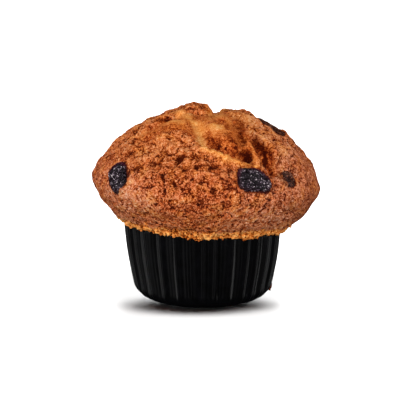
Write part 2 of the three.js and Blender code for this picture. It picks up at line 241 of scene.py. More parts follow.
# Camera
CAMERA_TARGET = (-1.2, 0.0, 37.4)
CAMERA_DISTANCE = 650.0
CAMERA_ELEVATION = 11.0
CAMERA_LENS = 151.5
CAMERA_SENSOR = 36

# Light and floor, in metres and degrees
MUFFIN_MIDDLE = Vector((0, 0, 0.04))
AMBIENT = 0.02
SKY = 0.64  # light from all over the upper side
SKY_ANGLE = 170
KEY_PANEL = (-35, 38, 25, 1.65)  # turn from the camera, rise, angle across, strength
FLOOR_ANGLE = 13  # angle across each panel that lights the floor
FLOOR_SHIFTS = (-11, -6.5, -2, 2.5)  # shifts along X of the shadows of the cap's waist, in millimetres
FLOOR_PANELS = [  # name, shift of that shadow along Y, light on the floor
    ("floor_front", 11.8, 5.15),
    ("floor_rear", -55, 5.15),
]
FLOOR_WHITE = (0.62, 0.62, 0.62)
FLOOR_SIZE = 4
SOFTBOX_DISTANCE = 0.9
SOFTBOXES = [  # name, turn from the camera, rise, size, watts
    ("softbox_left", -50, 3, (0.3, 0.4), 11.6),
    ("softbox_front", 12, 2, (0.5, 0.3), 4.8),
    ("softbox_right", 50, 3, (0.3, 0.4), 9.6),
    ("softbox_top", 8, 60, (0.12, 0.12), 1.0),
    ("softbox_rear_left", -145, 25, (0.4, 0.5), 5.0),
    ("softbox_rear_right", 145, 25, (0.4, 0.5), 5.0),
]
TABLE_STRIPS = [  # light thrown up at the paper by the table: name, turn, rise, size, watts
    ("strip_left", -110, -25, (0.12, 0.4), 1.6),
    ("strip_front_left", -50, -28, (0.3, 0.4), 1.8),
    ("strip_front_right", 45, -28, (0.4, 0.4), 0.7),
    ("strip_right", 110, -25, (0.12, 0.4), 1.6),
]


# --- Numbers ---


def smoothstep(x, low, high):
    t = np.clip((x - low) / (high - low), 0, 1)
    return t * t * (3 - 2 * t)


def lerp(a, b, t):
    return a + (b - a) * t


def hashed(lattice, seed):
    """A repeatable number from 0 to 1 for each whole-numbered point."""
    c = lattice.astype(np.int64)
    h = (c[..., 0] * 73856093) ^ (c[..., 1] * 19349663) ^ (c[..., 2] * 83492791) ^ ((seed + 1) * 668265263)
    for shift, factor in ((13, 1274126177), (16, 2246822519), (15, 3266489917)):
        h = ((h & 0xFFFFFFFF) ^ ((h & 0xFFFFFFFF) >> shift)) * factor
    return ((h >> 8) & 0xFFFFFF) / 0xFFFFFF


def noise(p, size, seed):
    """Smooth noise of about -1 to 1 whose lumps are about size across."""
    q = p / size
    base = np.floor(q)
    inside = q - base
    fade = inside**3 * (inside * (inside * 6 - 15) + 10)
    total = np.zeros(len(p))
    for corner in np.ndindex(2, 2, 2):
        gradient = np.stack([hashed(base + corner, 3 * seed + k) for k in range(3)], 1) * 2 - 1
        weight = np.prod(np.where(corner, fade, 1 - fade), axis=1)
        total += weight * np.einsum("ij,ij->i", gradient, inside - corner)
    return 2.0 * total


def cells(p, size, seed):
    """Distances to the nearest and next of points strewn one to a cell, and the nearest's number."""
    q = p / size
    base = np.floor(q)
    near = np.full(len(p), 9.0)
    following = near.copy()
    owner = np.zeros(len(p))
    for offset in np.ndindex(3, 3, 3):
        cell = base + np.array(offset) - 1
        strewn = cell + np.stack([hashed(cell, 5 * seed + k) for k in range(3)], 1)
        distance = np.linalg.norm(q - strewn, axis=1)
        closer = distance < near
        following = np.where(closer, near, np.minimum(following, distance))
        owner = np.where(closer, hashed(cell, 5 * seed + 3), owner)
        near = np.where(closer, distance, near)
    return near, following, owner


def segment_distance(x, y, a, b):
    dx, dy = b[0] - a[0], b[1] - a[1]
    along = np.clip(((x - a[0]) * dx + (y - a[1]) * dy) / (dx * dx + dy * dy), 0, 1)
    return np.hypot(x - a[0] - along * dx, y - a[1] - along * dy)


def path_distance(x, y, path):
    return np.min([segment_distance(x, y, a, b) for a, b in zip(path, path[1:])], axis=0)


def inside_depth(x, y, outline):
    """Distance to a closed outline in plan, positive inside it."""
    distance = path_distance(x, y, outline + outline[:1])
    inside = np.zeros(x.shape, bool)
    for (ax, ay), (bx, by) in zip(outline, outline[1:] + outline[:1]):
        spans = (ay > y) != (by > y)
        if ay != by:
            inside ^= spans & (x < ax + (y - ay) * (bx - ax) / (by - ay))
    return np.where(inside, distance, -distance)


# --- Meshes ---


def zip_rings(counts):
    """Triangles between neighbouring rings of these counts of points. A count of 1 is a tip."""
    faces = []
    start = 0
    for below, above in zip(counts, counts[1:]):
        following = start + below
        steps_below = (np.arange(below) + 1) / below if below > 1 else np.zeros(0)
        steps_above = (np.arange(above) + 1) / above if above > 1 else np.zeros(0)
        order = np.argsort(np.concatenate([steps_below, steps_above]), kind="stable")
        is_below = order < len(steps_below)
        i = np.cumsum(is_below) - is_below
        j = np.cumsum(~is_below) - ~is_below
        a = start + i % below
        c = following + j % above
        b = np.where(is_below, start + (i + 1) % below, following + (j + 1) % above)
        faces.append(np.stack([a, b, c], 1))
        start = following
    return np.concatenate(faces)


def sphere(subdivisions):
    bm = bmesh.new()
    bmesh.ops.create_icosphere(bm, subdivisions=subdivisions, radius=1)
    points = np.array([v.co for v in bm.verts])
    faces = np.array([[v.index for v in f.verts] for f in bm.faces])
    bm.free()
    return points, faces


def vertex_normals(points, faces):
    a, b, c = (points[faces[:, k]] for k in range(3))
    across = np.cross(b - a, c - a)
    normals = np.zeros_like(points)
    for k in range(3):
        for axis in range(3):
            normals[:, axis] += np.bincount(faces[:, k], across[:, axis], len(points))
    return normals / np.linalg.norm(normals, axis=1, keepdims=True)


def raised(points, faces, heights):
    return points + vertex_normals(points, faces) * heights[:, None]


def build(name, points, faces, fields, material):
    """A smooth-shaded mesh piece, with the fields as numbers on its vertices."""
    mesh = bpy.data.meshes.new(name)
    mesh.from_pydata((points * MM).tolist(), [], faces.tolist())
    for field, values in fields.items():
        attribute = mesh.attributes.new(field, "FLOAT", "POINT")
        attribute.data.foreach_set("value", values.astype(np.float32))
    mesh.shade_smooth()
    mesh.materials.append(material)
    piece = bpy.data.objects.new(name, mesh)
    bpy.context.scene.collection.objects.link(piece)
    return piece


# --- Paper case ---


def tilt(turn):
    """How much lower the cap and the paper's edge sit at a turn than at the axis."""
    return LEAN * np.cos(turn) + TIP * np.sin(turn)


def swell(turn):
    """How much the paper's edge, and the cap over it, is lifted at a turn."""
    height, middle, width = RIM_SWELL
    away = (np.degrees(turn) - middle + 180) % 360 - 180
    return height * np.exp(-((away / width) ** 2))


def rim_height(turn):
    return RIM_HEIGHT - tilt(turn) + swell(turn)


def flute_turn(phase):
    return sum((size * np.sin(times * phase + shift) for size, times, shift in FLUTE_DRIFT), phase)


def model_inset(phase):
    return (1 - np.cos(FLUTES * phase)) / 2


def case_points(phase, along, inset, flute_inset):
    """Points on the case, moved inwards by inset. along is 0 at the floor's edge, 1 where the
    corner meets the wall, and 2 at the rim."""
    turn = flute_turn(phase)
    arc = (math.pi / 2 - math.atan(WALL_FLARE)) * np.minimum(along, 1)
    bend = CORNER_RADIUS - inset
    up_wall = np.maximum(along - 1, 0)
    foot = CORNER_RADIUS - bend * np.cos(arc)
    height = lerp(foot, rim_height(turn), up_wall)
    radius = FLOOR_RADIUS + bend * np.sin(arc)
    radius = radius + WALL_FLARE * (height - foot) + WALL_BELLY * np.sin(math.pi * up_wall)
    radius = radius - FLUTE_DEPTH * flute_inset * smoothstep(along, *FLUTES_GROW)
    return np.stack([radius * np.cos(turn), radius * np.sin(turn), height], -1)


# --- Crust: the forms that the model has ---


def bumps(p, wavelength, seed):
    total = 0
    for i in range(WAVES):
        dz = 1 - (2 * i + 1) / WAVES
        across = math.sqrt(1 - dz * dz)
        turn = math.pi * (3 - math.sqrt(5)) * i + seed
        distance = p[..., 0] * across * math.cos(turn) + p[..., 1] * across * math.sin(turn) + p[..., 2] * dz
        total = total + np.sin(TAU * distance / wavelength + 1.7 * i * seed)
    return total / math.sqrt(WAVES / 2)


def relief(p):
    x, y, z = p[..., 0], p[..., 1], p[..., 2]
    upper_side = smoothstep(z, *UPPER_SIDE)
    height = sum(tall * bumps(p, wavelength, seed) for wavelength, tall, seed in CRAGS)
    height = height * lerp(UNDERSIDE_CRAGS, 1, upper_side)
    top = -BURST_DEPTH * smoothstep(inside_depth(x, y, BURST), -BURST_EDGE / 2, BURST_EDGE / 2)
    for tall, width, path in FOLDS:
        top = top + tall * np.exp(-((path_distance(x, y, path) / width) ** 2))
    for lump_x, lump_y, along_x, along_y, tall in LUMPS:
        top = top + tall * np.exp(-(((x - lump_x) / along_x) ** 2 + ((y - lump_y) / along_y) ** 2))
    above_rim = z - rim_height(np.arctan2(y, x))
    return (height + upper_side * top) * smoothstep(above_rim, GAP, WHOLE_RELIEF)


def cap_section(t):
    """Radius and height of the smooth cap's section, for t from 0 at the neck to 1 at the summit."""
    drop = np.maximum(1 - t / UNDERSIDE_SHARE, 0)
    climb = np.sin(np.maximum(t - UNDERSIDE_SHARE, 0) / (1 - UNDERSIDE_SHARE) * math.pi / 2)
    under = t < UNDERSIDE_SHARE
    radius = np.where(
        under,
        lerp(WAIST_RADIUS, NECK_RADIUS, drop**UNDERSIDE_BULGE),
        WAIST_RADIUS * np.maximum(1 - climb**DOME_BULGE, 0) ** DOME_FULLNESS,
    )
    height = np.where(under, lerp(WAIST_HEIGHT, LEDGE_HEIGHT, drop), lerp(WAIST_HEIGHT, TOP_HEIGHT, climb))
    return radius, height


SECTION_T = np.linspace(0, 1, 4001)
SECTION_RADIUS, SECTION_HEIGHT = cap_section(SECTION_T)
SECTION_ARC = np.concatenate([[0], np.cumsum(np.hypot(np.diff(SECTION_RADIUS), np.diff(SECTION_HEIGHT)))])


def cap_points(turn, arc):
    """Points and outward directions on the cap at a turn and a distance up its section, with the
    relief that the model has."""
    radius = np.interp(arc, SECTION_ARC, SECTION_RADIUS)
    height = np.interp(arc, SECTION_ARC, SECTION_HEIGHT)
    reach = 0.05
    ahead, behind = np.minimum(arc + reach, SECTION_ARC[-1]), np.maximum(arc - reach, 0)
    out = np.interp(ahead, SECTION_ARC, SECTION_HEIGHT) - np.interp(behind, SECTION_ARC, SECTION_HEIGHT)
    up = np.interp(behind, SECTION_ARC, SECTION_RADIUS) - np.interp(ahead, SECTION_ARC, SECTION_RADIUS)
    length = np.hypot(out, up)
    outward = np.stack([out * np.cos(turn), out * np.sin(turn), up], -1) / length[..., None]
    level = smoothstep(height, *LEVEL)
    shift = np.where(
        height < WAIST_HEIGHT,
        WAIST_SHIFT * (height - LEDGE_HEIGHT) / (WAIST_HEIGHT - LEDGE_HEIGHT),
        lerp(WAIST_SHIFT, TOP_SHIFT, (height - WAIST_HEIGHT) / (TOP_HEIGHT - WAIST_HEIGHT)),
    )
    lift = swell(turn) * (1 - smoothstep(height, LEDGE_HEIGHT, LEDGE_HEIGHT + SWELL_REACH))
    smooth = np.stack(
        [radius * np.cos(turn) + shift, radius * np.sin(turn), height - tilt(turn) * (1 - level) + lift], -1
    )
    return smooth + outward * relief(smooth)[..., None], outward


# --- Berries' places ---


def berry_frame(turn_degrees, height, sunk, roll_degrees):
    """Centre of a berry, and its three axes as columns: across, up the slope, and outwards."""
    turn = np.array([math.radians(turn_degrees)])
    above = SECTION_T > UNDERSIDE_SHARE
    arc = np.interp([height], SECTION_HEIGHT[above], SECTION_ARC[above])
    points, outwards = cap_points(turn, arc)
    outward = outwards[0]
    across = np.array([-math.sin(turn[0]), math.cos(turn[0]), 0])
    up_slope = np.cross(outward, across)
    roll = math.radians(roll_degrees)
    axes = np.stack(
        [
            across * math.cos(roll) + up_slope * math.sin(roll),
            up_slope * math.cos(roll) - across * math.sin(roll),
            outward,
        ],
        1,
    )
    return points[0] - outward * sunk, axes


BERRY_FRAMES = {
    name: berry_frame(turn, height, sunk, roll)
    for name, turn, height, _, sunk, roll, _ in BERRIES
}


def powered_length(p):
    """Length of a vector by the berries' exponent instead of 2."""
    return (np.abs(p) ** BERRY_SQUARENESS).sum(1) ** (1 / BERRY_SQUARENESS)


def covers_of(name, local):
    """For each cover of a berry, how far places given in berry sizes lie its way, and where it starts."""
    for covered, direction, start in COVERS:
        if covered == name:
            turn = math.radians(direction)
            yield local[:, 0] * math.cos(turn) + local[:, 1] * math.sin(turn), start


def cover_share(name, local):
    """How far the batter lies over a berry, from 0 to 1."""
    share = np.zeros(len(local))
    for along, start in covers_of(name, local):
        share = np.maximum(share, smoothstep(along, start - COVER_SOFTNESS, start + COVER_SOFTNESS))
    return share


def cover_seam(name, local):
    """Nearness, from 0 to 1, to an edge of the batter that lies over a berry, where shade under that edge is
    painted.
    """
    overhang_shade = np.zeros(len(local))
    for along, start in covers_of(name, local):
        overhang_shade = np.maximum(overhang_shade, np.exp(-(((along - start - 0.08) / 0.1) ** 2)))
    return overhang_shade


def berry_reach(p):
    """How far out in the nearest berry's footprint a point of the crust lies, 1 at the edge, how far
    that berry is covered, how near the cover's edge is, where shade is painted, and how much the point lies
    to the right, the side painted darker as shade."""
    nearest = np.full(len(p), OUT_OF_REACH)
    covered, overhang_shade, shaded_side = np.zeros((3, len(p)))
    for name, _, _, half, sunk, _, taper in BERRIES:
        centre, axes = BERRY_FRAMES[name]
        offset = p - centre
        local = offset @ axes / half
        spread = np.stack([local[:, 0], local[:, 1] / (1 + taper * local[:, 0])], 1)
        width = (1 - (sunk / half[2]) ** BERRY_SQUARENESS) ** (1 / BERRY_SQUARENESS)
        beyond = np.linalg.norm(offset, axis=1) > 2 * half[0]
        reach = powered_length(spread) / width + OUT_OF_REACH * beyond
        closer = reach < nearest
        covered = np.where(closer, cover_share(name, local), covered)
        overhang_shade = np.where(closer, cover_seam(name, local), overhang_shade)
        shaded_side = np.where(closer, smoothstep(offset[:, 0] + 0.3 * offset[:, 2], -1, 3), shaded_side)
        nearest = np.minimum(nearest, reach)
    return nearest, covered, overhang_shade, shaded_side


# --- Cake ---


def creased(p, size, seed, width=0.1):
    """Rounded lumps with sharp creases between them: height of about -1 to 1, and the creases."""
    n = noise(p, size, seed)
    return 3 * np.abs(n) - 0.92, np.exp(-((n / width) ** 2))


def scattered(p, size, seed, share, smallest, largest):
    """Round spots of 0 to 1 in a share of the cells, their sizes between two shares of a cell."""
    near, _, owner = cells(p, size, seed)
    radius = lerp(smallest, largest, np.clip(owner / share, 0, 1))
    return np.exp(-((near / radius) ** 4)) * (owner < share)


def crust_zones(p):
    """Shares from 0 to 1: the burst, its golden crumb, the craggy upper side and the calm flanks."""
    x, y, z = p.T
    top = smoothstep(z, *UPPER_SIDE)
    burst = top * smoothstep(inside_depth(x, y, BURST) + 1.3 * noise(p, 4, 16), -1.2, 1.6)
    gold = np.zeros(len(p))
    for share, width, path in GOLD:
        gold = np.maximum(gold, share * np.exp(-((path_distance(x, y, path) / width) ** 2)))
    gold = top * np.clip(gold + 0.2 * noise(p, 3, 17), 0, 1)
    upper = smoothstep(z + 4 * noise(p, 11, 11), 47, 57)
    calm = smoothstep(np.abs(x) + 2 * noise(p, 8, 18), 29, 38) * (1 - 0.5 * upper)
    return burst, gold, upper, calm


def by_zone(zones, below, on_top, calm_loss, burst_loss, gold_loss):
    """Share of a relief's height from place to place."""
    burst, gold, upper, calm = zones
    share = lerp(below, on_top, upper)
    for zone, loss in ((calm, calm_loss), (burst, burst_loss), (gold, gold_loss)):
        share = share * (1 - loss * zone)
    return share


def crust_forms(p, zones):
    """Height, hollowness and tone of what is a few millimetres across: clumps, crevices and pits, with
    painted shade in the hollows and painted light on the clumps' tops.
    """
    x, y, z = p.T
    warped = p + 0.8 * np.stack([noise(p, 2.8, 20 + k) for k in range(3)], 1)
    large, large_crease = creased(warped, 4.8, 4)
    small, small_crease = creased(warped, 2.4, 5)
    _, _, owner = cells(warped, 3.6, 6)
    rough = by_zone(zones, *CLUMPS_BY_ZONE)
    height = rough * (0.22 * large + 0.12 * small + 0.3 * (owner - 0.5))
    cracked = large_crease * smoothstep(noise(p, 4.5, 12), -0.05, 0.3)
    split = small_crease * smoothstep(noise(p, 3, 13), 0.05, 0.35)
    shaded_hollow = rough * np.maximum(cracked, 0.8 * split)
    height = height - 0.55 * shaded_hollow
    winding = x + 0.6 * noise(p, 1.6, 9), y + 0.6 * noise(p, 1.6, 10)
    for tall, width, path in RIDGES:
        height = height + tall * np.exp(-((path_distance(x, y, path) / width) ** 2)) * (z > WAIST_HEIGHT)
    for path, width, depth in CREVICES:
        groove = np.exp(-((path_distance(*winding, path) / width) ** 3)) * (z > WAIST_HEIGHT)
        height = height - depth * groove
        shaded_hollow = np.maximum(shaded_hollow, np.clip(1.2 * depth, 0, 1) * groove)
    for pit_x, pit_y, pit_z, radius, depth in PITS:
        pit = np.exp(-((np.linalg.norm(warped - (pit_x, pit_y, pit_z), axis=1) / radius) ** 4))
        height = height - depth * pit
        shaded_hollow = np.maximum(shaded_hollow, pit)
    return height, shaded_hollow, rough * (0.1 * (owner - 0.5) + 0.04 * large)


def crust_grains(p, zones, edge):
    """Height, hollowness and tone of sandy grains and pores about a millimetre across, with painted shade in
    the hollows and pores and painted light on the grains' tops.
    """
    grain, crease = creased(p, 1.5, 14, 0.12)
    tiny, _ = creased(p, 0.85, 15)
    pores = np.maximum(scattered(p, 2.4, 7, 0.3, 0.12, 0.26), scattered(p, 1.3, 8, 0.3, 0.12, 0.3))
    pores = pores * (1 - 0.9 * edge)
    sandy = by_zone(zones, *GRAINS_BY_ZONE)
    broken = crease * smoothstep(noise(p, 2, 16), 0.1, 0.4)
    height = sandy * (0.1 * grain + 0.05 * tiny - 0.4 * pores - 0.15 * broken)
    height = height + edge * (0.3 * grain + 0.14 * tiny)
    shaded_hollow = np.clip(sandy * np.maximum(pores, 0.7 * broken) + edge * 0.8 * crease, 0, 1)
    return height, shaded_hollow, sandy * (0.06 * grain + 0.05 * tiny) + 0.08 * edge * grain


def cake_rings():
    """Turn, distance up the section and ring counts of the cap's rows."""
    rows = int(SECTION_ARC[-1] / CRUST_STEP)
    arcs = np.arange(rows) * SECTION_ARC[-1] / rows
    radii = np.interp(arcs, SECTION_ARC, SECTION_RADIUS)
    counts = np.maximum(6, np.round(TAU * radii / CRUST_STEP)).astype(int)
    turn = np.concatenate([TAU * np.arange(n) / n for n in counts] + [[0.0]])
    arc = np.concatenate([np.full(n, a) for n, a in zip(counts, arcs)] + [[SECTION_ARC[-1]]])
    return turn, arc, list(counts) + [1]


def lip_drop(turn):
    """How far the ragged edge hangs down over the paper."""
    p = NECK_RADIUS * np.stack([np.cos(turn), np.sin(turn), 0 * turn], 1)
    drop = sum((tall * noise(p, size, seed) for tall, size, seed in LIP_RAGS), LIP_DROP)
    for middle, width, extra in LIP_TONGUES:
        away = (np.degrees(turn) - middle + 180) % 360 - 180
        drop = drop + extra * np.exp(-((away / width) ** 2))
    return np.clip(drop, *LIP_LIMITS)


def berry_marks(p):
    """berry_reach with a ragged outline and the painted shade at the cover's edge kept close to the berry
    and stronger on the shaded side, and the share from 0 to 1 to which a berry smooths the crust round it."""
    reach, covered, overhang_shade, shaded_side = berry_reach(p)
    overhang_shade = overhang_shade * smoothstep(reach, 1.12, 1.0) * lerp(0.4, 1, shaded_side)
    reach = reach + 0.06 * noise(p, 1.8, 34)
    smooth = smoothstep(reach, 1.3, 1.05) * (1 - covered)
    return reach, covered, overhang_shade, shaded_side, smooth


def press_berries(p, marks, height, shaded_hollow):
    """The crust's height and hollowness with a hole for each berry, and a ridge and crevice round it; the
    crevice and the cover's edge join the hollows that are painted as shade.
    """
    reach, covered, overhang_shade, shaded_side, smooth = marks
    inside = smoothstep(reach, 0.96, 0.89)
    height = height * (1 - 0.8 * smooth) - 1.8 * inside * (1 - covered) + 0.3 * inside * covered
    height = height + (0.2 + 0.35 * noise(p, 1.4, 35)) * np.exp(-(((reach - 1.06) / 0.08) ** 2))
    crevice = np.exp(-np.abs((reach - 0.97 - 0.05 * shaded_side) / (0.05 + 0.06 * shaded_side)) ** 3)
    height = height - 0.5 * shaded_side * crevice * (1 - covered)
    return height, np.maximum(shaded_hollow, np.maximum((1 - covered) * crevice, overhang_shade))


# share of the lower left, which is painted paler as light and takes the pinker bake
def left_flank(p):
    return smoothstep(-p[:, 0], 12, 32) * smoothstep(p[:, 2], 58, 47)


def broad_tone_and_shading(p, zones, edge):
    """Tone of what is broader than a clump: random patches and paler gold crumb, with painted light on the
    lower left and the rim and painted shade on the lower middle, in the burst and towards the far left and
    right.
    """
    burst, gold, _, _ = zones
    away = np.abs(p[:, 0])
    middle = smoothstep(p[:, 0], -20, 0) * smoothstep(p[:, 0], 24, 6) * smoothstep(p[:, 2], 56, 46)
    # random tone, painted shade on the lower middle and painted light on the lower left
    tone = 0.07 * noise(p, 15, 30) + 0.06 * noise(p, 5, 31) - 0.05 * middle + 0.05 * left_flank(p)
    # painted shade in the burst's hollow, and the paler gold crumb
    tone = tone - 0.06 * burst * (1 - gold) + 0.05 * gold
    # painted light on the ragged rim under the cap, most near the middle
    tone = tone + (0.08 + 0.06 * smoothstep(away, 26, 12)) * edge
    # painted shade towards the far left and right
    tone = tone - 0.08 * smoothstep(away, 32, 42)
    # spots painted paler or darker
    for place, radius, shade in PATCHES:
        tone = tone + shade * np.exp(-((np.linalg.norm(p - place, axis=1) / radius) ** 2))
    return tone


def crust_colours(p, zones, marks):
    """Shares from 0 to 1 of the colours that the crust takes from place to place."""
    x, _, z = p.T
    burst, gold, _, _ = zones
    reach, covered, overhang_shade, shaded_side, _ = marks
    warm = smoothstep(z, 50, 60) * smoothstep(np.abs(x), 36, 24)
    flecks = 0.3 * smoothstep(noise(p, 3.4, 41), 0.1, 0.5)
    embers = 0.6 * smoothstep(noise(p, 1.3, 42), 0, 0.35)
    right = smoothstep(x, 6, 26) * lerp(1, 0.4, smoothstep(z, 56, 68))
    # berry stain round each berry, stronger on the shaded side as painted shade, batter soaked over a berry,
    # and painted shade at the cover's edge
    stain_and_shade = smoothstep(reach + 0.08 * noise(p, 1.5, 33), 1.16, 0.98)
    stain_and_shade = stain_and_shade * lerp(0.6, 1, shaded_side) * (1 - 0.3 * covered)
    soaked = covered * smoothstep(reach + 0.3 * noise(p, 1.2, 36), 0.9, 0.5)
    return {
        "gold": np.maximum(gold, 0.2 * warm * (1 - burst) + flecks),
        "ember": np.maximum(burst, embers),
        "blush": np.maximum(right, left_flank(p)) * (1 - burst),
        "stain_and_shade": np.maximum(stain_and_shade, np.maximum(0.9 * soaked, overhang_shade)),
    }


def hidden_rings(edge_turn):
    """The foot in the case, and the way over the paper's edge and down to the hanging lip."""
    steps = FLUTES * FOOT_STEPS
    phase = TAU * np.arange(steps) / steps
    inset = MODEL_PAPER + GAP
    foot = [np.array([[0, 0, inset]])]
    foot += [case_points(phase, np.full(steps, along), inset, model_inset(phase)) for along in FOOT_ROWS]
    foot[-1][:, 2] += GAP
    radius = NECK_RADIUS - LIP_INSET
    height = rim_height(edge_turn) + GAP
    over = np.stack([radius * np.cos(edge_turn), radius * np.sin(edge_turn), height], 1)
    under = over.copy()
    under[:, 2] -= lip_drop(edge_turn) * 0.8
    return foot, over, under


def make_cake(material):
    """The crust, and the foot that the paper hides."""
    turn, arc, counts = cake_rings()
    cap, _ = cap_points(turn, arc)
    cap[:, 2] -= lip_drop(turn) * np.clip(1 - arc / LIP_HOLD, 0, 1) ** 2
    foot, over, under = hidden_rings(turn[: counts[0]])
    hidden = np.concatenate(foot + [over, under])
    points = np.concatenate([hidden, cap])
    faces = zip_rings([len(ring) for ring in foot] + [len(over), len(under)] + counts)
    shown = np.arange(len(points)) >= len(hidden)
    arc = np.concatenate([np.zeros(len(hidden)), arc])

    zones = crust_zones(points)
    edge = smoothstep(arc + 1.6 * noise(points, 2.6, 19), 5.6, 3.0) * shown
    marks = berry_marks(points)
    height, shaded_hollow, tone = crust_forms(points, zones)
    height, shaded_hollow = press_berries(points, marks, height, shaded_hollow)
    points = raised(points, faces, height * smoothstep(arc, 0.2, 2.5) * shown)
    grain, pores, grain_top_light = crust_grains(points, zones, edge)
    *_, smooth = marks
    points = raised(points, faces, grain * (1 - 0.7 * smooth) * shown * smoothstep(arc, 0.0, 0.8))

    _, gold, _, _ = zones
    # the tone holds painted light and shade as well as the bake's own tone, and the hollows are painted as
    # shade
    fields = {
        "tone": 0.5 + broad_tone_and_shading(points, zones, edge) + tone + grain_top_light,
        "shaded_hollow": np.clip(np.maximum(shaded_hollow, pores) * (1 - 0.6 * gold), 0, 1),
        "edge": edge,
        **crust_colours(points, zones, marks),
    }
    start = sum(len(ring) for ring in foot)
    end = start + len(over)
    in_crust = (faces >= start).all(1)
    crust_fields = {field: values[start:] for field, values in fields.items()}
    crust = build("cake_crust", points[start:], faces[in_crust] - start, crust_fields, material)
    foot_fields = {field: values[:end] for field, values in fields.items()}
    foot = build("cake_foot", points[:end], faces[~in_crust], foot_fields, material)
    return crust, foot


def rim_crumbs():
    """Crumbs that cling to the ragged edge, half sunk in it: place, half sizes and tone."""
    random = np.random.default_rng(RIM_CRUMB_SEED)
    for k in range(RIM_CRUMBS):
        turn = TAU * (k + random.uniform(-0.4, 0.4)) / RIM_CRUMBS
        half = random.uniform(0.2, 0.5) * random.uniform(0.6, 1.3, 3)
        drop = lip_drop(np.array([turn]))[0]
        radius = NECK_RADIUS + random.uniform(-0.4, 0)
        height = rim_height(turn) + GAP - drop + random.uniform(-0.2, 0.8)
        yield (radius * math.cos(turn), radius * math.sin(turn), height), half, random.uniform(0.3, 0.6)


def make_crumbs(name, crumbs, zone, material):
    """Rough crumbs as one mesh, with the colours of a zone of the crust."""
    unit, unit_faces = sphere(CRUMB_SMOOTHNESS)
    points, faces, tones = [], [], []
    for k, (place, half, tone) in enumerate(crumbs):
        rough = 1 + 0.6 * noise(unit, 0.6, 200 + k)
        points.append(unit * half * rough[:, None] + place)
        faces.append(unit_faces + len(unit) * k)
        tones.append(np.full(len(unit), tone))
    tones = np.concatenate(tones)
    fields = {"tone": tones, zone: np.ones(len(tones))}
    return build(name, np.concatenate(points), np.concatenate(faces), fields, material)


# --- Paper ---


def make_case(material):
    """The pleated paper: outer face up to the rim and back down the inner one."""
    steps = FLUTES * PLEAT_STEPS
    phase = TAU * np.arange(steps) / steps
    strength = 0.85 + 0.15 * np.sin(5 * phase + 1) * np.sin(3 * phase)
    crest = (1 - model_inset(phase)) ** PLEAT_SHARPNESS
    second = 0.12 * np.clip(np.cos(FLUTES * phase + math.pi * 0.9), 0, 1) ** 6
    flute_inset = 1 - strength * np.maximum(crest, second)
    alongs = np.concatenate([np.linspace(0, 1, CORNER_ROWS)[:-1], np.linspace(1, 2, WALL_ROWS)])
    rings = []
    for inset, order in ((0, alongs), (PAPER, alongs[::-1])):
        floor = [
            np.stack([r * np.cos(flute_turn(phase)), r * np.sin(flute_turn(phase)), 0 * phase + inset], 1)
            for r in np.linspace(0, FLOOR_RADIUS, FLOOR_ROWS)[1:-1]
        ]
        walls = [case_points(phase, np.full(steps, a), inset, flute_inset) for a in order]
        centre = [np.array([[0, 0, inset]])]
        rings += centre + floor + walls if inset == 0 else walls + floor[::-1] + centre
    points = np.concatenate(rings)
    faces = zip_rings([len(ring) for ring in rings])
    return build("case_paper", points, faces, {}, material)


# --- Berries ---


def make_berry(name, half, sunk, taper, material):
    """A berry whose skin is wrinkled, flattened on top and pushed in where batter lies over it."""
    unit, faces = sphere(BERRY_SMOOTHNESS)
    seed = 60 + [row[0] for row in BERRIES].index(name)
    open_skin = smoothstep(unit[:, 2], *OPEN_SKIN)
    folds = np.abs(noise(unit, 0.4, seed)) + 0.8 * np.abs(noise(unit, 0.17, seed + 20))
    wrinkle = open_skin * (1.1 * np.clip(folds, 0, 0.7) - 0.4 + 0.3 * noise(unit, 0.1, seed + 60))
    shape = unit / powered_length(unit)[:, None]
    ring = smoothstep(np.hypot(unit[:, 0], unit[:, 1]), *RED_RIM)
    shape[:, 1] *= 1 + taper * shape[:, 0]
    local = shape * np.array(half)
    above = local[:, 2] - sunk
    # skin below the crust's level, painted dark as shade in the crevice round the berry
    sunk_side_shade = smoothstep(above, 0.3, -0.1)
    local[:, 2] = np.where(above > 0, sunk + BERRY_RISE * above, local[:, 2]) + wrinkle
    local[:, 2] -= COVER_DENT * half[2] * cover_share(name, shape) * (unit[:, 2] > -0.3)
    centre, axes = BERRY_FRAMES[name]
    points = centre + local @ axes.T
    ring = ring * lerp(0.15, 1, smoothstep(points[:, 2] - centre[2], 0, 3.5))
    film = np.full(len(unit), 1.0 if name in FILMED else 0.0)
    fields = {"fold": np.clip(folds / 0.6, 0, 1), "ring": ring * (1 - film), "film": film, "sunk_side_shade": sunk_side_shade}
    return build(name + "_skin", points, faces, fields, material)


# --- Materials ---


COLOUR_SOCKETS = (6, 7)  # where a Mix node takes its colours, and gives the mixed one
COLOUR_RESULT = 2


def srgb(red, green, blue):
    """Linear colour of an sRGB one given in 0 to 255."""
    return tuple(
        ((channel / 255 + 0.055) / 1.055) ** 2.4 if channel > 10 else channel / 255 / 12.92
        for channel in (red, green, blue)
    )


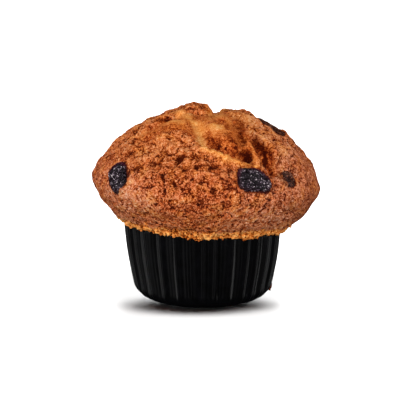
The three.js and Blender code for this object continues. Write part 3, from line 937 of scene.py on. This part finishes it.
class Nodes:
    """Short calls for making a material's nodes."""

    def __init__(self, name):
        self.material = bpy.data.materials.new(name)
        self.material.use_nodes = True
        self.tree = self.material.node_tree
        self.shader = self.tree.nodes["Principled BSDF"]

    def node(self, kind, inputs=None, **settings):
        made = self.tree.nodes.new("ShaderNode" + kind)
        for key, value in settings.items():
            setattr(made, key, value)
        for key, value in (inputs or {}).items():
            self.feed(made.inputs[key], value)
        return made

    def feed(self, socket, value):
        if isinstance(value, bpy.types.NodeSocket):
            self.tree.links.new(value, socket)
        else:
            socket.default_value = value

    def field(self, name):
        return self.node("Attribute", attribute_name=name).outputs["Fac"]

    def math(self, operation, a, b):
        made = self.node("Math", operation=operation)
        self.feed(made.inputs[0], a)
        self.feed(made.inputs[1], b)
        return made.outputs[0]

    def total(self, *terms):
        """Sum of socket and factor pairs."""
        result = 0.0
        for socket, factor in terms:
            made = self.node("Math", operation="MULTIPLY_ADD")
            for target, value in zip(made.inputs, (socket, factor, result)):
                self.feed(target, value)
            result = made.outputs[0]
        return result

    def ramp(self, value, *stops):
        made = self.node("ValToRGB", {"Fac": value})
        elements = made.color_ramp.elements
        while len(elements) < len(stops):
            elements.new(0.5)
        for element, (place, colour) in zip(elements, stops):
            element.position = place
            element.color = (*srgb(*colour), 1)
        return made.outputs["Color"]

    def mix(self, share, a, b):
        made = self.node("Mix", data_type="RGBA")
        self.feed(made.inputs["Factor"], share)
        for socket, colour in zip(COLOUR_SOCKETS, (a, b)):
            self.feed(made.inputs[socket], colour)
        return made.outputs[COLOUR_RESULT]

    def tint(self, colour, field, share, paint):
        """The colour, painted over with another by a share of a field."""
        return self.mix(self.math("MULTIPLY", self.field(field), share), colour, (*srgb(*paint), 1))

    def noise(self, scale, detail, roughness=0.5):
        coordinates = self.node("TexCoord").outputs["Object"]
        inputs = {"Vector": coordinates, "Scale": scale, "Detail": detail, "Roughness": roughness}
        made = self.node("TexNoise", inputs)
        return made.outputs["Fac"]

    def bump(self, height, strength, distance):
        made = self.node("Bump", {"Height": height, "Strength": strength, "Distance": distance})
        self.feed(self.shader.inputs["Normal"], made.outputs["Normal"])

    def finish(self, colour, roughness, specular):
        """Gives the shader its colour and gloss, and returns the material."""
        self.feed(self.shader.inputs["Base Color"], colour)
        self.shader.inputs["Roughness"].default_value = roughness
        self.shader.inputs["Specular IOR Level"].default_value = specular
        return self.material


BAKES = [  # field that brings a bake's colours, none for the one under all, and its ramp by tone
    (None, [
        (0.12, (42, 8, 0)),
        (0.3, (92, 33, 9)),
        (0.42, (138, 66, 33)),
        (0.54, (164, 88, 50)),
        (0.66, (171, 103, 65)),
        (0.84, (174, 126, 95)),
    ]),
    ("blush", [
        (0.12, (46, 13, 6)),
        (0.3, (96, 40, 20)),
        (0.42, (142, 76, 46)),
        (0.54, (168, 98, 66)),
        (0.66, (177, 115, 82)),
        (0.84, (182, 137, 111)),
    ]),
    ("ember", [
        (0.12, (48, 7, 0)),
        (0.3, (92, 28, 3)),
        (0.42, (132, 54, 16)),
        (0.54, (158, 73, 29)),
        (0.66, (172, 97, 48)),
        (0.84, (187, 130, 80)),
    ]),
    ("gold", [
        (0.12, (76, 22, 2)),
        (0.3, (136, 58, 12)),
        (0.42, (174, 97, 37)),
        (0.6, (191, 130, 67)),
        (0.84, (197, 158, 104)),
    ]),
    ("edge", [
        (0.12, (70, 20, 2)),
        (0.3, (142, 63, 13)),
        (0.45, (203, 109, 42)),
        (0.62, (208, 131, 61)),
        (0.84, (210, 148, 82)),
    ]),
]
# dark red of the berries' stain, also painted as shade round them
STAIN_AND_SHADE = (46, 14, 10)
PAPER_BLACK = [(0.3, (2, 2, 2)), (0.7, (4, 4, 5))]
# near-black skin whose high end is painted glints
BERRY_SKIN_AND_GLINTS = [
    (0.5, (7, 3, 5)),
    (0.57, (22, 13, 18)),
    (0.63, (66, 53, 63)),
    (0.69, (132, 118, 130)),
    (0.76, (204, 196, 186)),
]
BERRY_BATTER = [(0.45, (30, 11, 7)), (0.58, (60, 27, 17)), (0.72, (128, 78, 50))]
BERRY_RING = (54, 15, 28)
# dark red-brown painted on the berries' sunk sides as shade
BERRY_SIDE_SHADE = (34, 9, 6)


def crust_material():
    n = Nodes("crust")
    speck = n.noise(900, 4, 0.7)
    dust = n.noise(2300, 1, 0.5)
    fine = n.total((speck, 1.3), (dust, 1.2), (1.0, -1.25))
    contrast = n.total((n.field("gold"), -0.32), (n.field("ember"), -0.22), (1.0, 1.03))
    fine = n.math("MULTIPLY", fine, contrast)
    # hollows painted darker, as shade
    tone = n.total((fine, 1.0), (n.field("tone"), 1.0), (n.field("shaded_hollow"), -0.45), (1.0, -0.02))
    for field, stops in BAKES:
        bake = n.ramp(tone, *stops)
        colour = n.mix(n.field(field), colour, bake) if field else bake
    # berry stain, with painted shade on the crevices' shaded side and at the cover's edges
    colour = n.tint(colour, "stain_and_shade", 0.8, STAIN_AND_SHADE)
    n.bump(n.total((speck, 1.0), (dust, 0.4)), 0.9, 0.0006)
    return n.finish(colour, roughness=0.75, specular=0.03)


def paper_material():
    n = Nodes("case_paper")
    n.bump(n.noise(900, 3), 0.15, 0.0001)
    return n.finish(n.ramp(n.noise(250, 3), *PAPER_BLACK), roughness=0.3, specular=0.021)


def berry_material():
    n = Nodes("berry")
    grain = n.noise(2000, 2, 0.6)
    # glints painted into the skin's colour, more on the wrinkles' folds; the batter film's lighter spots
    # follow them
    glint = n.total((grain, 1.0), (n.noise(450, 2), 0.5), (n.field("fold"), 0.12), (1.0, -0.34))
    colour = n.tint(n.ramp(glint, *BERRY_SKIN_AND_GLINTS), "ring", 0.8, BERRY_RING)
    film = n.math("MULTIPLY", n.field("film"), 0.9)
    colour = n.mix(film, colour, n.ramp(glint, *BERRY_BATTER))
    # the sunk sides painted dark, as shade in the crevice
    colour = n.tint(colour, "sunk_side_shade", 0.85, BERRY_SIDE_SHADE)
    n.bump(grain, 0.8, 0.0005)
    return n.finish(colour, roughness=0.3, specular=0.09)


# --- Stage ---


def aim(thing, target):
    thing.rotation_euler = (Vector(target) - thing.location).to_track_quat("-Z", "Y").to_euler()


def make_camera():
    camera = bpy.data.objects.new("camera", bpy.data.cameras.new("camera"))
    bpy.context.scene.collection.objects.link(camera)
    rise = math.radians(CAMERA_ELEVATION)
    back = Vector((0, -math.cos(rise), math.sin(rise))) * CAMERA_DISTANCE
    camera.location = (Vector(CAMERA_TARGET) + back) * MM
    aim(camera, Vector(CAMERA_TARGET) * MM)
    camera.data.sensor_width = CAMERA_SENSOR
    camera.data.lens = CAMERA_LENS
    bpy.context.scene.camera = camera


def from_muffin(turn, rise, distance):
    """A place seen from the muffin at turn degrees right of the camera and rise above the floor."""
    turn, rise = math.radians(turn), math.radians(rise)
    away = Vector((math.sin(turn) * math.cos(rise), -math.cos(turn) * math.cos(rise), math.sin(rise)))
    return MUFFIN_MIDDLE + away * distance


def make_light(kind, name, place, receivers):
    light = bpy.data.objects.new(name, bpy.data.lights.new(name, kind))
    bpy.context.scene.collection.objects.link(light)
    light.location = place
    aim(light, MUFFIN_MIDDLE)
    light.light_linking.receiver_collection = receivers
    return light


def make_panel(name, place, angle, strength, receivers):
    light = make_light("SUN", name, place, receivers)
    light.data.angle = math.radians(angle)
    light.data.energy = strength
    return light


def make_softbox(name, place, size, watts, receivers):
    light = make_light("AREA", name, place, receivers)
    light.data.shape = "RECTANGLE"
    light.data.size, light.data.size_y = size
    light.data.energy = watts
    return light


def make_floor():
    bm = bmesh.new()
    bmesh.ops.create_grid(bm, x_segments=4, y_segments=4, size=FLOOR_SIZE)
    mesh = bpy.data.meshes.new("floor")
    bm.to_mesh(mesh)
    bm.free()
    floor = bpy.data.objects.new("floor", mesh)
    bpy.context.scene.collection.objects.link(floor)
    mesh.materials.append(Nodes("floor").finish((*FLOOR_WHITE, 1), roughness=0.9, specular=0.0))
    floor.visible_diffuse = False
    floor.visible_glossy = False
    return floor


def linked(name, thing, state):
    """A collection that lets a light reach one thing alone, or all but that."""
    receivers = bpy.data.collections.new(name)
    receivers.objects.link(thing)
    receivers.collection_objects[0].light_linking.link_state = state
    return receivers


def make_world():
    world = bpy.data.worlds.new("studio")
    bpy.context.scene.world = world
    world.use_nodes = True
    background = world.node_tree.nodes["Background"]
    background.inputs["Color"].default_value = (1, 1, 1, 1)
    background.inputs["Strength"].default_value = AMBIENT
    world.cycles_visibility.glossy = False


def light_floor(floor_alone, cap_alone):
    """Panels for the floor alone, so that the muffin's shadow has its own shape and softness."""
    for name, shift_y, light in FLOOR_PANELS:
        for k, shift_x in enumerate(FLOOR_SHIFTS):
            towards = Vector((-shift_x, -shift_y, WAIST_HEIGHT)).normalized()
            strength = light / len(FLOOR_SHIFTS) / towards.z
            place = MUFFIN_MIDDLE + towards
            panel = make_panel(f"{name}_{k}", place, FLOOR_ANGLE, strength, floor_alone)
            if shift_y < 0:
                panel.light_linking.blocker_collection = cap_alone


def make_stage(case, crust):
    """The floor and the lights, each of which reaches the floor alone, the case alone or all but the
    floor."""
    floor = make_floor()
    floor_alone = linked("floor_alone", floor, "INCLUDE")
    all_but_floor = linked("all_but_floor", floor, "EXCLUDE")
    case_alone = linked("case_alone", case, "INCLUDE")
    cap_alone = linked("cap_alone", crust, "INCLUDE")
    make_world()
    turn, rise, angle, strength = KEY_PANEL
    make_panel("key_panel", from_muffin(turn, rise, 1.0), angle, strength, all_but_floor)
    sky = make_panel("sky", from_muffin(0, 90, 1.0), SKY_ANGLE, SKY, all_but_floor)
    sky.visible_glossy = False
    light_floor(floor_alone, cap_alone)
    for name, turn, rise, size, watts in SOFTBOXES:
        softbox = make_softbox(name, from_muffin(turn, rise, SOFTBOX_DISTANCE), size, watts, all_but_floor)
        softbox.visible_glossy = abs(turn) < 90
    for name, turn, rise, size, watts in TABLE_STRIPS:
        strip = make_softbox(name, from_muffin(turn, rise, SOFTBOX_DISTANCE), size, watts, case_alone)
        strip.light_linking.blocker_collection = all_but_floor
    bpy.context.scene.view_settings.view_transform = "Standard"


# --- The muffin ---


def dress(piece, slot, *nodes):
    """Lets a piece stand for its nodes and ride on the muffin."""
    if nodes:
        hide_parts(*nodes)
    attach(piece, "root")


def main():
    make_camera()
    crumb = crust_material()
    crust, foot = make_cake(crumb)
    case = make_case(paper_material())
    make_stage(case, crust)
    dress(crust, "crust", "cake")
    dress(foot, "crust")
    dress(make_crumbs("rim_crumbs", rim_crumbs(), "edge", crumb), "crust")
    dress(make_crumbs("case_crumbs", CASE_CRUMBS, "blush", crumb), "crust")
    dress(case, "case_paper", "paper_case")
    skin = berry_material()
    for name, _, _, half, sunk, _, taper in BERRIES:
        dress(make_berry(name, half, sunk, taper, skin), "berry", name)


main()
